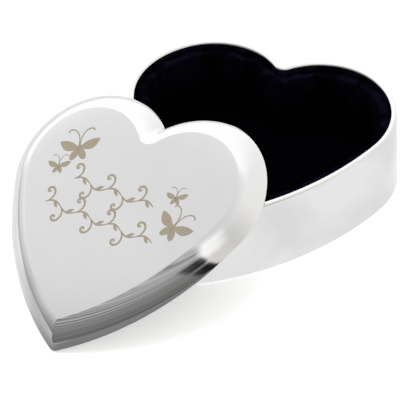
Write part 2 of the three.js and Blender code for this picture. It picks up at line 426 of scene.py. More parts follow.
def object_place(tree):
    return node(tree, "ShaderNodeTexCoord").outputs["Object"]


def put_out(group, made, **values):
    for label, value in values.items():
        group.links.new(value, made.inputs[label])
    return group


def polish_group():
    """Cloudy handling marks, fine hairlines and a slow wave in pressed and polished metal."""
    group, given, made = new_group(
        "polish",
        [
            ("Haze", "NodeSocketFloat", 0.03),
            ("Gloss", "NodeSocketFloat", 0.05),
            ("Hairlines", "NodeSocketFloat", 0.3),
            ("Wave", "NodeSocketFloat", 0.2),
        ],
        [("Roughness", "NodeSocketFloat"), ("Height", "NodeSocketFloat"), ("Cloud", "NodeSocketFloat")],
    )
    place = object_place(group)
    cloud = noise(group, place, 38.0, 4.0, Roughness=0.6)
    hazy = maths(group, "MULTIPLY", cloud, given.outputs["Haze"])
    roughness = maths(group, "ADD", hazy, given.outputs["Gloss"])
    stretched = stretch(group, place, (260.0, 5200.0, 900.0), (0.3, 0.2, 0.9))
    fine = remap(group, noise(group, stretched, 1.0, 3.0), 0.62, 0.7, 0.0, given.outputs["Hairlines"])
    wave = maths(group, "MULTIPLY", noise(group, place, 22.0, 1.0), given.outputs["Wave"])
    height = maths(group, "SUBTRACT", wave, fine)
    return put_out(group, made, Roughness=roughness, Height=height, Cloud=cloud)


def pile_group():
    """Brushed nap of a pile cloth: broad patches that lean one way or the other, stretched upright so that
    they also paint highlights like those on folds, and single fibres.

    Below the height Deep the pile is painted darkest, as painted shade deep in the box, and above Shallow it
    is painted fully lit.
    """
    group, given, made = new_group(
        "pile",
        [
            ("Ground", "NodeSocketColor", (0, 0, 0, 1)),
            ("Brushed", "NodeSocketColor", (0, 0, 0, 1)),
            ("Fibre Scale", "NodeSocketFloat", 2600.0),
            ("Deep", "NodeSocketFloat", 0.0),
            ("Shallow", "NodeSocketFloat", 0.001),
        ],
        [("Color", "NodeSocketColor"), ("Roughness", "NodeSocketFloat"), ("Height", "NodeSocketFloat")],
    )
    place = object_place(group)
    # Patches of nap tone, stretched upright so that they also stand in for painted highlights along folds
    tall = stretch(group, place, (1.0, 1.0, 0.3), (0.25, 0.2, 0.0))
    leaning = remap(group, noise(group, tall, 130.0, 3.0, Distortion=0.8), 0.44, 0.62, 0.0, 1.3)
    fibres = noise(group, place, given.outputs["Fibre Scale"], 2.0)
    speckle = remap(group, fibres, 0.35, 0.75, 0.55, 1.25)
    share = maths(group, "MULTIPLY", leaning, speckle)
    height = node(group, "ShaderNodeSeparateXYZ", Vector=place).outputs["Z"]
    # Painted shade: the pile darkens from Shallow down to Deep, where light falls off inside the box
    lit_by_height = remap(group, height, given.outputs["Deep"], given.outputs["Shallow"], 0.0, 1.0)
    base = maths(group, "MULTIPLY", lit_by_height, 0.2)
    share = maths(group, "ADD", base, maths(group, "MULTIPLY", share, lit_by_height))
    color = blend_color(group, share, given.outputs["Ground"], given.outputs["Brushed"])
    roughness = remap(group, fibres, 0.0, 1.0, 0.7, 1.0)
    return put_out(group, made, Color=color, Roughness=roughness, Height=fibres)


def grain_group():
    """Fine isotropic grain, for etched metal, card and foam."""
    group, given, made = new_group(
        "grain",
        [
            ("Dark", "NodeSocketColor", (0, 0, 0, 1)),
            ("Light", "NodeSocketColor", (1, 1, 1, 1)),
            ("Scale", "NodeSocketFloat", 3000.0),
        ],
        [("Color", "NodeSocketColor"), ("Height", "NodeSocketFloat")],
    )
    grain = noise(group, object_place(group), given.outputs["Scale"], 3.0)
    share = remap(group, grain, 0.35, 0.65, 0.0, 1.0)
    color = blend_color(group, share, given.outputs["Dark"], given.outputs["Light"])
    return put_out(group, made, Color=color, Height=grain)


# ---- Materials ----

_kept = {}


def shared(name, make):
    """A material or node group that is made once and used again."""
    if name not in _kept:
        _kept[name] = make()
    return _kept[name]


def place_group(tree, name, make, **values):
    made = tree.nodes.new("ShaderNodeGroup")
    made.node_tree = shared(name, make)
    for label, value in values.items():
        made.inputs[label.replace("_", " ")].default_value = value
    return made


def start_material(name, **sockets):
    material = bpy.data.materials.new(name)
    material.use_nodes = True
    shader = material.node_tree.nodes["Principled BSDF"]
    for label, value in sockets.items():
        shader.inputs[label.replace("_", " ")].default_value = value
    return material, material.node_tree, shader


def add_bump(tree, shader, height, strength, distance):
    bump = node(tree, "ShaderNodeBump", Strength=strength, Distance=distance, Height=height)
    tree.links.new(bump.outputs["Normal"], shader.inputs["Normal"])


def rgba(rgb, share=1.0):
    return (*(share * c for c in rgb), 1.0)


def plated(name, tone, worn, clear, cloudy, bump, **values):
    """Plated metal whose colour goes from tone to worn times tone between two levels of cloudiness."""
    material, tree, shader = start_material(name, Metallic=1.0)
    polish = place_group(tree, "polish", polish_group, **values)
    share = remap(tree, polish.outputs["Cloud"], clear, cloudy, 0.0, 1.0)
    tree.links.new(blend_color(tree, share, rgba(tone), rgba(tone, worn)), shader.inputs["Base Color"])
    tree.links.new(polish.outputs["Roughness"], shader.inputs["Roughness"])
    add_bump(tree, shader, polish.outputs["Height"], bump, 0.02 * MM)
    return material


def silver_plate():
    """Mirror-polished silver plate."""
    tone = bpy.context.scene.metal_work.plate_color
    values = {"Haze": 0.03, "Gloss": 0.005, "Hairlines": 0.2, "Wave": 1.0}
    return plated("silver_plate", tone, worn=0.97, clear=0.35, cloudy=0.7, bump=0.12, **values)


def inner_plate():
    """Plain plated metal inside the lid and under the box: the same metal before its last polish."""
    tone = bpy.context.scene.metal_work.inner_color
    values = {"Haze": 0.2, "Gloss": 0.18, "Hairlines": 1.0, "Wave": 0.5}
    return plated("inner_plate", tone, worn=0.85, clear=0.0, cloudy=1.0, bump=0.3, **values)


def grained(name, dark, light, scale, strength, depth, **sockets):
    """A plain material with a fine grain in its colour and its surface."""
    material, tree, shader = start_material(name, **sockets)
    grain = place_group(tree, "grain", grain_group, Dark=dark, Light=light, Scale=scale)
    tree.links.new(grain.outputs["Color"], shader.inputs["Base Color"])
    add_bump(tree, shader, grain.outputs["Height"], strength, depth)
    return material


def etched_mark():
    """Matt marking on the plate."""
    tone = bpy.context.scene.lid_motif.mark_color
    sockets = {"Roughness": 0.62, "Metallic": 0.0, "Specular_IOR_Level": 0.35}
    return grained("etched_mark", rgba(tone, 0.82), rgba(tone, 1.12), 5200.0, 0.35, 0.02 * MM, **sockets)


def grey_card():
    """Grey board with a fibrous surface."""
    dark, light = (0.3, 0.28, 0.25, 1), (0.42, 0.4, 0.36, 1)
    return grained("grey_card", dark, light, 1400.0, 0.4, 0.08 * MM, Roughness=0.85)


def cream_foam():
    """Open-cell foam."""
    dark, light = (0.45, 0.42, 0.33, 1), (0.78, 0.75, 0.66, 1)
    return grained("cream_foam", dark, light, 2200.0, 0.8, 0.2 * MM, Roughness=0.95)


def pile_cloth(name, ground, brushed_and_lit, fibre_scale, depth, deep=-1.0, shallow=-0.5):
    """Cloth with a pile. deep and shallow are the heights between which its painted shade gives way to its
    lit colour.
    """
    material, tree, shader = start_material(name)
    shader.inputs["Specular IOR Level"].default_value = 0.0
    pile = place_group(tree, "pile", pile_group, Ground=ground, Brushed=brushed_and_lit, Fibre_Scale=fibre_scale)
    pile.inputs["Deep"].default_value, pile.inputs["Shallow"].default_value = deep, shallow
    tree.links.new(pile.outputs["Color"], shader.inputs["Base Color"])
    tree.links.new(pile.outputs["Roughness"], shader.inputs["Roughness"])
    add_bump(tree, shader, pile.outputs["Height"], 0.6, depth)
    return material, shader


def velvet():
    """Midnight-blue velvet, painted nearly black deep in the box as painted shade, and lighter towards the
    rim.
    """
    work = bpy.context.scene.lining_work
    low, high = foam_high.z + CLEAR_OF_FLOOR, lining_high.z
    # Painted shade: the ground is the velvet at 0.12 of its colour, shown below low, and the pile is painted
    # lighter up to high at the rim
    material, shader = pile_cloth(
        "velvet", rgba(work.velvet_color, 0.12), rgba(work.velvet_color), 2600.0, 0.15 * MM, low, high
    )
    shader.inputs["Sheen Weight"].default_value = 0.012
    shader.inputs["Sheen Roughness"].default_value = 0.3
    shader.inputs["Sheen Tint"].default_value = rgba(work.pile_glow)
    return material


def felt():
    """Pressed felt."""
    tone = bpy.context.scene.lining_work.felt_color
    material, shader = pile_cloth("felt", rgba(tone), rgba(tone, 1.6), 1500.0, 0.2 * MM)
    shader.inputs["Sheen Weight"].default_value = 0.15
    shader.inputs["Sheen Tint"].default_value = (0.5, 0.5, 0.6, 1)
    return material


def floor_paint():
    """A table top that glows evenly to the eye, and shows mirrors a painted reflection, darker in front of
    the box.
    """
    studio = bpy.context.scene.studio_setup
    material, tree, shader = start_material("lit_table", Roughness=0.9)
    shader.inputs["Specular IOR Level"].default_value = 0.1
    shader.inputs["Emission Strength"].default_value = studio.table_glow
    shader.inputs["Emission Color"].default_value = (1, 1, 1, 1)
    dark, light = rgba(studio.floor_color, 0.99), rgba(studio.floor_color)
    grain = place_group(tree, "grain", grain_group, Dark=dark, Light=light, Scale=400.0)
    tree.links.new(grain.outputs["Color"], shader.inputs["Base Color"])
    place = object_place(tree)
    # Painted reflection for glossy rays only: dark in front of the box, less dark to its front left, pale
    # elsewhere
    split = node(tree, "ShaderNodeSeparateXYZ", Vector=place)
    beyond = remap(tree, split.outputs["X"], -0.06, -0.03, 0.6, 0.25)
    share = remap(tree, split.outputs["Y"], -0.08, -0.055, beyond, 0.95)
    cloudy = remap(tree, noise(tree, place, 26.0, 3.0, Distortion=0.5), 0.4, 0.6, 0.94, 1.05)
    painted_reflection = node(tree, "ShaderNodeEmission", Strength=maths(tree, "MULTIPLY", share, cloudy))
    seen = node(tree, "ShaderNodeLightPath").outputs["Is Glossy Ray"]
    mix = tree.nodes.new("ShaderNodeMixShader")
    tree.links.new(seen, mix.inputs["Fac"])
    tree.links.new(shader.outputs["BSDF"], mix.inputs[1])
    tree.links.new(painted_reflection.outputs["Emission"], mix.inputs[2])
    tree.links.new(mix.outputs["Shader"], tree.nodes["Material Output"].inputs["Surface"])
    return material


# ---- Cloth ----

CLOTH_SCALE = 10.0  # the cloth solver likes pieces about a metre across
CLOTH = {
    "quality": 6,
    "mass": 0.2,
    "tension_stiffness": 12,
    "compression_stiffness": 12,
    "shear_stiffness": 4,
    "bending_stiffness": 0.4,
}


def coordinates(mesh):
    found = np.empty(len(mesh.vertices) * 3)
    mesh.vertices.foreach_get("co", found)
    return found.reshape(-1, 3)


def settle_cloth(piece, pressure, shrink, frames, most, pinned=None):
    """Lets cloth swell or gather from its present shape, and caps how far each point moves."""
    mesh = piece.data
    start = coordinates(mesh)
    mesh.transform(Matrix.Scale(CLOTH_SCALE, 4))
    if pinned is not None:
        held = piece.vertex_groups.new(name="held")
        held.add(pinned, 1.0, "REPLACE")
    modifier = piece.modifiers.new("settle", "CLOTH")
    cloth = modifier.settings
    for key, value in CLOTH.items():
        setattr(cloth, key, value)
    cloth.effector_weights.gravity = 0
    cloth.shrink_min = shrink
    if pressure:
        cloth.use_pressure = True
        cloth.uniform_pressure_force = pressure
    if pinned is not None:
        cloth.vertex_group_mass = "held"
    modifier.collision_settings.use_collision = False
    modifier.point_cache.frame_start = 1
    modifier.point_cache.frame_end = frames
    scene = bpy.context.scene
    for step in range(1, frames + 1):
        scene.frame_set(step)
    settled = piece.evaluated_get(bpy.context.evaluated_depsgraph_get())
    shape = coordinates(settled.data) / CLOTH_SCALE
    piece.modifiers.remove(modifier)
    scene.frame_set(1)
    move = shape - start
    far = np.linalg.norm(move, axis=1)
    move *= (most * np.tanh(far / most) / np.maximum(far, 1e-9))[:, None]
    mesh.vertices.foreach_set("co", (start + move).ravel())
    mesh.update()


# ---- Pieces of the box ----


class TRINKET_OT_box_wall(bpy.types.Operator):
    """Polished wall of the box with its rolled rim"""

    bl_idname = "trinket.box_wall"
    bl_label = "Box wall"

    def execute(self, context):
        metal = context.scene.metal_work
        heart = Heart(context.scene.heart_outline)
        bottom, top, inside = wall_low.z, wall_high.z, -metal.wall
        r, foot = metal.rim_rounding, 0.25 * MM
        profile = [(inside, bottom), (-foot, bottom)]
        profile += round_corner(-foot, bottom + foot, foot, -math.pi / 2)[1:]
        profile += [(0, z) for z in np.linspace(bottom + 1 * MM, top - r - 1 * MM, 6)]
        profile += round_corner(-r, top - r, r, 0, 8)
        profile += round_corner(inside + r, top - r, r, math.pi / 2, 8)
        wall = add_object("box_wall_polished", *hoop(heart, profile), shared("silver", silver_plate))
        belong(wall, "box", "plating", "box_wall")
        return {"FINISHED"}


class TRINKET_OT_base(bpy.types.Operator):
    """Base plate that closes the box, and the felt that it stands on"""

    bl_idname = "trinket.base"
    bl_label = "Base and felt"

    def execute(self, context):
        metal = context.scene.metal_work
        heart = Heart(context.scene.heart_outline)
        edge, r = felt_high.x - wall_high.x, 0.15 * MM
        plate = self.plate(heart, edge, base_low.z, base_high.z, r)
        base = add_object("base_plate_plain", *plate, shared("inner", inner_plate))
        belong(base, "box", "plating", "base_plate")
        pad = self.plate(heart, edge, felt_low.z, felt_high.z, 2 * r)
        under = add_object("base_felt_pressed", *pad, shared("felt", felt))
        belong(under, "box", "felt", "base_felt")
        return {"FINISHED"}

    def plate(self, heart, edge, low, high, r):
        profile = round_corner(edge - r, low + r, r, -math.pi / 2, 3)
        profile += round_corner(edge - r, high - r, r, 0, 3)
        return capped(heart, profile)


class TRINKET_OT_wall_lining(bpy.types.Operator):
    """Gathered velvet round the inside of the wall, over a strip of foam"""

    bl_idname = "trinket.wall_lining"
    bl_label = "Wall lining"

    AROUND = 420
    ROWS = 22
    SEED = 7
    BULGE = 0.7 * MM
    ROLL = 1.3 * MM  # radius of the rolled upper edge
    FLOOR_GAP = 0.45 * MM  # velvet's face beyond the edge of the floor
    LIP_DROP, LIP_WIDTH, LIP_ROUNDING = 0.7 * MM, 0.5 * MM, 0.1 * MM
    BACK_DROP = 1.4 * MM  # top of the lining down to the top of its back
    FIRST_ROW, SETTLING = 0.6 * MM, 0.55 * MM
    FOAM, FOAM_ROUNDING, FOAM_DROP = 1.2 * MM, 0.4 * MM, 1 * MM

    def execute(self, context):
        work = context.scene.lining_work
        heart = Heart(context.scene.heart_outline)
        self.foam(heart)
        face = self.face_offset()
        lip = lining_high.x - wall_high.x
        roll, top, bottom = self.ROLL, lining_high.z, lining_low.z
        front = [(lip, top - self.LIP_DROP), (lip - self.LIP_WIDTH, top - self.LIP_ROUNDING)]
        front += self.rolled(face, top, roll)
        heights = np.linspace(top - roll - self.FIRST_ROW, bottom, self.ROWS)
        clear = foam_high.z + CLEAR_OF_FLOOR
        for z in heights:
            bulge = math.sin(math.pi * min(1, max(0, (z - clear) / (top - roll - clear)))) ** 0.7
            front.append((face - self.BULGE * bulge, z))
        rings = [ring_points(heart.even(o, self.AROUND), z) for o, z in front]
        rings = self.gather(rings, work, top, bottom)
        count = len(rings)
        back = [ring_points(heart.even(lip, self.AROUND), z) for z in (bottom, top - self.BACK_DROP)]
        points = np.vstack([*back, *rings])
        faces = skin(count + 2, self.AROUND, True)
        lining = add_object("wall_lining_velvet", points, faces, shared("velvet", velvet), sharp=80)
        pinned_rings = (0, 1, 2, count + 1)  # the back, the lip and the lowest ring
        held = [k * self.AROUND + i for k in pinned_rings for i in range(self.AROUND)]
        settle_cloth(lining, pressure=0.6, shrink=-0.05, frames=14, most=self.SETTLING, pinned=held)
        belong(lining, "box", "velvet", "wall_velvet")
        return {"FINISHED"}

    def face_offset(self):
        return floor_high.x - wall_high.x + self.FLOOR_GAP

    def rolled(self, face, top, roll):
        turn = np.linspace(math.pi / 2, math.pi, 7)
        return [(face + roll + roll * math.cos(t), top - roll + roll * math.sin(t)) for t in turn]

    def gather(self, rings, work, top, bottom):
        """Puckers: soft rolls with narrow creases between them, deepest at the two gathered edges."""
        draw = np.random.default_rng(self.SEED)
        share = np.arange(self.AROUND) / self.AROUND
        spacing = draw.uniform(0.6, 1.4, work.puckers)
        edges = np.r_[0, np.cumsum(spacing)] / spacing.sum()
        depth = draw.uniform(0.45, 1.0, work.puckers)
        lean = draw.uniform(-0.35, 0.35, work.puckers)
        made = []
        for ring in rings:
            level = (ring[0][2] - bottom) / (top - bottom)
            strength = 0.35 + 0.65 * abs(2 * level - 1) ** 1.5
            at = (share + 0.012 * level + 0.004 * math.sin(5 * level)) % 1
            which = np.clip(np.searchsorted(edges, at, side="right") - 1, 0, work.puckers - 1)
            across = (at - edges[which]) / (edges[which + 1] - edges[which])
            across = np.clip(across + lean[which] * (level - 0.5) * across * (1 - across), 0, 1)
            crease = 1 - np.sin(math.pi * across) ** 0.6
            push = work.pucker_depth * strength * depth[which] * crease
            outward = self.outward(ring)
            made.append(ring + np.c_[outward * push[:, None], np.zeros(len(ring))])
        return made

    def outward(self, ring):
        along = np.roll(ring[:, :2], -1, axis=0) - np.roll(ring[:, :2], 1, axis=0)
        normal = np.c_[along[:, 1], -along[:, 0]]
        return normal / np.linalg.norm(normal, axis=1)[:, None]

    def foam(self, heart):
        low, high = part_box("wall_foam")
        outer = high.x - wall_high.x
        inner, r, top = outer - self.FOAM, self.FOAM_ROUNDING, high.z - self.FOAM_DROP
        profile = [(inner, low.z), (outer, low.z)]
        profile += round_corner(outer - r, top, r, 0, 3)
        profile += round_corner(inner + r, top, r, math.pi / 2, 3)
        strip = add_object("wall_foam_strip", *hoop(heart, profile), shared("foam", cream_foam))
        belong(strip, "box", "foam", "wall_foam")


def heart_pad(heart, name, edge, low, high, crown, material, place=None):
    """A stuffed heart: flat underneath, rounded at its edge and crowned on top."""
    thickness = high - low
    r = thickness * 0.48
    profile = round_corner(edge - r, low + r, r, -math.pi / 2, 4)
    profile += round_corner(edge - r, high - r, r, 0, 4)
    rim = heart.outline(edge)
    reach = np.abs(rim).max()

    def level(x, y):
        share = np.clip((np.asarray(x) ** 2 + (np.asarray(y) + 2 * MM) ** 2) / reach**2, 0, 1)
        return high + crown * (1 - share) ** 1.5

    points, faces = capped(heart, profile, top=level, steps=26)
    return add_object(name, points, faces, material, place, sharp=80)


class TRINKET_OT_floor_lining(bpy.types.Operator):
    """Velvet pad on the floor of the box, and the foam inside it"""

    bl_idname = "trinket.floor_lining"
    bl_label = "Floor lining"

    FOAM_INSET, VELVET_OUTSET = 1.5 * MM, 0.4 * MM  # from the edge of the floor
    UNDERLAP, TOP_DROP, CROWN = 0.2 * MM, 0.5 * MM, 0.3 * MM

    def execute(self, context):
        work = context.scene.lining_work
        heart = Heart(context.scene.heart_outline)
        edge = floor_high.x - wall_high.x
        filling = shared("foam", cream_foam)
        inset = edge - self.FOAM_INSET
        foam = heart_pad(heart, "floor_foam_pad", inset, foam_low.z, foam_high.z, 0, filling)
        belong(foam, "box", "foam", "floor_foam")
        low, high = foam_low.z - self.UNDERLAP, floor_high.z - self.TOP_DROP
        outset = edge + self.VELVET_OUTSET
        cloth = shared("velvet", velvet)
        velvet_pad = heart_pad(heart, "floor_pad_velvet", outset, low, high, self.CROWN, cloth)
        puff_up(velvet_pad, work.pad_swell, low)
        belong(velvet_pad, "box", "velvet", "floor_velvet")
        return {"FINISHED"}


def apply_modifiers(piece):
    made = bpy.data.meshes.new_from_object(piece.evaluated_get(bpy.context.evaluated_depsgraph_get()))
    piece.modifiers.clear()
    piece.data = made


def puff_up(pad, swell, lowest, voxel=1.1 * MM, pressure=3.0):
    """Remeshes a pad evenly and lets it swell as a stuffed cloth case, no lower than z = lowest."""
    remesh = pad.modifiers.new("even", "REMESH")
    remesh.mode = "VOXEL"
    remesh.voxel_size = voxel
    remesh.use_smooth_shade = True
    apply_modifiers(pad)
    settle_cloth(pad, pressure, shrink=-0.02, frames=16, most=swell)
    for vertex in pad.data.vertices:
        vertex.co.z = max(vertex.co.z, lowest)
    smooth = pad.modifiers.new("smooth", "SUBSURF")
    smooth.levels = smooth.render_levels = 1
    apply_modifiers(pad)
    pad.data.shade_smooth()


class TRINKET_OT_cards(bpy.types.Operator):
    """Grey card under the velvet of the wall, the floor and the lid"""

    bl_idname = "trinket.cards"
    bl_label = "Lining cards"

    def execute(self, context):
        for name in ("wall_card", "floor_card", "lid_card"):
            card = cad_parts[name].data
            card.materials.clear()
            card.materials.append(shared("card", grey_card))
        return {"FINISHED"}


# ---- Pieces of the lid ----


def face_level(metal):
    """Height of the lid's face at (x, y) in the lid's frame: a shallow even dome."""
    reach = 40 * MM

    def level(x, y):
        share = (np.asarray(x) ** 2 + (np.asarray(y) - 2 * MM) ** 2) / reach**2
        return metal.border_rise + metal.dome_rise * (1 - share) + metal.edge_fall * (1 - share**4)

    return level


class TRINKET_OT_lid_shell(bpy.types.Operator):
    """Pressed and polished lid: a hem, a rounded border and a nearly flat face"""

    bl_idname = "trinket.lid_shell"
    bl_label = "Lid shell"

    BORDER_STEPS = 26
    CLEFT_PINCH = 0.45  # share of the way in from the edge by which the cleft is kept narrow

    def execute(self, context):
        metal = context.scene.metal_work
        heart = Heart(context.scene.heart_outline)
        level = face_level(metal)
        outer = self.border(heart, metal.overhang, metal.border_width, metal.hem, level, 0)
        inside, narrow = metal.overhang - metal.sheet, metal.border_width - metal.sheet
        inner = self.border(heart, inside, narrow, metal.hem, level, metal.sheet)
        edge, r = metal.overhang, 0.2 * MM
        hem = [(inside, metal.hem * 0.5), (inside, 0.1 * MM), (inside + 0.1 * MM, 0), (edge - r, 0)]
        hem += round_corner(edge - r, r, r, -math.pi / 2, 4)[1:]
        hem += [(edge, metal.hem - 0.2 * MM), (edge - metal.groove, metal.hem - 0.1 * MM)]
        rings = inner[::-1] + [ring_points(heart.outline(o), z) for o, z in hem] + outer

        def under(x, y):
            return level(x, y) - metal.sheet

        steps, size = 22, len(outer[0])
        points, faces = close_caps(rings, top=level, bottom=under, steps=steps)
        face_ring = (steps - 1 + len(rings) - 1) * size
        creases = [range(face_ring, face_ring + size)]
        silver = shared("silver", silver_plate)
        lid = add_object("lid_shell_polished", points, faces, silver, lid_place(), 40, creases)
        belong(lid, "lid", "plating", "lid_shell")
        return {"FINISHED"}

    def border(self, heart, edge, width, low, level, drop):
        """Part of a round from the steep foot above the hem up to the face, as rings."""
        metal = bpy.context.scene.metal_work
        start, end = math.pi / 2 - metal.border_foot, math.pi / 2 - metal.border_top
        across, up = math.cos(start) - math.cos(end), math.sin(end) - math.sin(start)
        rings = []
        for turn in np.linspace(start, end, self.BORDER_STEPS):
            inward = width * (math.cos(start) - math.cos(turn)) / across
            flat = heart.outline(edge - inward, self.CLEFT_PINCH * inward)
            top = level(flat[:, 0], flat[:, 1]) - drop
            rings.append(ring_points(flat, low + (top - low) * (math.sin(turn) - math.sin(start)) / up))
        return rings


class TRINKET_OT_lid_collar(bpy.types.Operator):
    """Collar that drops inside the box wall, with the flange that sits on the rim"""

    bl_idname = "trinket.lid_collar"
    bl_label = "Lid collar"

    def execute(self, context):
        metal = context.scene.metal_work
        heart = Heart(context.scene.heart_outline)
        gap, r = 0.3 * MM, 0.25 * MM
        outer = -metal.wall - metal.clearance
        inner = outer - metal.collar
        flange = metal.overhang - metal.sheet - gap
        low, seat, top = -metal.collar_drop, metal.seat, metal.seat + metal.collar
        profile = round_corner(inner + r, low + r, r, math.pi, 3)
        profile += round_corner(outer - r, low + r, r, -math.pi / 2, 3)
        profile += [(outer, seat - r), (outer + r, seat), (flange, seat), (flange, seat + 0.25 * MM)]
        profile += [(flange - 0.6 * MM, top)]
        profile += round_corner(inner + r, top - r, r, math.pi / 2, 3)
        inner_metal = shared("inner", inner_plate)
        collar = add_object("lid_collar_plain", *hoop(heart, profile), inner_metal, lid_place())
        belong(collar, "lid", "plating", "lid_collar")
        return {"FINISHED"}


class TRINKET_OT_lid_lining(bpy.types.Operator):
    """Thin velvet pad inside the lid"""

    bl_idname = "trinket.lid_lining"
    bl_label = "Lid lining"

    INSET, PLUMP = 2.0 * MM, 0.2 * MM  # in from the collar, and above the packed pad

    def execute(self, context):
        metal = context.scene.metal_work
        heart = Heart(context.scene.heart_outline)
        place = lid_place()
        into = place.inverted()
        levels = [(into @ v.co).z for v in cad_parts["lid_velvet"].data.vertices]
        low, high = min(levels), max(levels)
        edge = -metal.wall - metal.clearance - metal.collar - self.INSET
        cloth = shared("velvet", velvet)
        pad = heart_pad(heart, "lid_lining_velvet", edge, low, high + self.PLUMP, 0, cloth, place)
        belong(pad, "lid", "velvet", "lid_velvet")
        return {"FINISHED"}


# ---- Engraving ----


class Inlay:
    """Flat shapes in the plane of the lid, gathered into one thin closed mesh."""

    SUNK = 0.15 * MM

    def __init__(self, metal, motif):
        self.level, self.proud = face_level(metal), motif.proud
        self.points, self.faces = [], []

    def lift(self, flat, height):
        return ring_points(flat, self.level(flat[:, 0], flat[:, 1]) + height)

    def shape(self, outline):
        """A filled outline, anticlockwise."""
        flat = np.asarray(outline)
        count, first = len(flat), len(self.points)
        self.points += [*self.lift(flat, self.proud), *self.lift(flat, -self.SUNK)]
        corners = [Vector((x, y, 0)) for x, y in flat]
        for a, b, c in tessellate_polygon([corners]):
            (ax, ay), (bx, by), (cx, cy) = flat[a], flat[b], flat[c]
            if (bx - ax) * (cy - ay) - (by - ay) * (cx - ax) < 0:
                b, c = c, b
            self.faces += [(first + a, first + b, first + c)]
            self.faces += [(first + count + a, first + count + c, first + count + b)]
        for i in range(count):
            j = (i + 1) % count
            self.faces.append((first + i, first + count + i, first + count + j, first + j))

    def stroke(self, line, widths):
        """A pen stroke along a line, as wide as widths says at each point, with round ends."""
        line, widths = np.asarray(line), np.asarray(widths)
        along = np.gradient(line, axis=0)
        along /= np.linalg.norm(along, axis=1)[:, None] + 1e-12
        side = np.c_[-along[:, 1], along[:, 0]] * widths[:, None] / 2
        left, right = line + side, line - side
        start = self.nib(line[0], -along[0], widths[0] / 2)
        end = self.nib(line[-1], along[-1], widths[-1] / 2)
        self.shape(np.vstack([right, end, left[::-1], start]))

    def nib(self, centre, forward, radius, steps=5):
        heading = math.atan2(forward[1], forward[0])
        turn = heading + np.linspace(-math.pi / 2, math.pi / 2, steps + 2)[1:-1]
        return np.c_[centre[0] + radius * np.cos(turn), centre[1] + radius * np.sin(turn)]

    def make(self, name):
        material = shared("etched", etched_mark)
        made = add_object(name, self.points, self.faces, material, lid_place(), sharp=50)
        belong(made, "lid", "etching")
        return made


def curl(start, heading, radius, turns, bend, steps=46, tightening=0.86):
    """A spiral that sets off from start along heading and winds in. bend is 1 left, -1 right."""
    share = np.linspace(0, 1, steps)
    gain = share + tightening * share**2 * (0.5 + share)
    turned = turns * 2 * math.pi * gain / gain[-1]
    step = turns * 2 * math.pi * radius / steps * (1 - tightening * share)
    direction = heading + bend * turned
    x = start[0] + np.r_[0, np.cumsum(step * np.cos(direction))][:-1]
    y = start[1] + np.r_[0, np.cumsum(step * np.sin(direction))][:-1]
    return np.c_[x, y]


def petal(reach, above, below, bluntness, heading):
    """A wing or leaf from the origin along heading, with its own fullness above and below."""
    t = np.linspace(0, 1, 22)
    upper = np.c_[t, above * np.sin(math.pi * t) ** bluntness]
    lower = np.c_[t, -below * np.sin(math.pi * t**1.1) ** bluntness]
    outline = np.vstack([lower, upper[1:-1][::-1]])
    return turn_flat(outline * reach, heading)


def turn_flat(points, turn):
    c, s = math.cos(turn), math.sin(turn)
    return np.asarray(points) @ np.array([[c, s], [-s, c]])


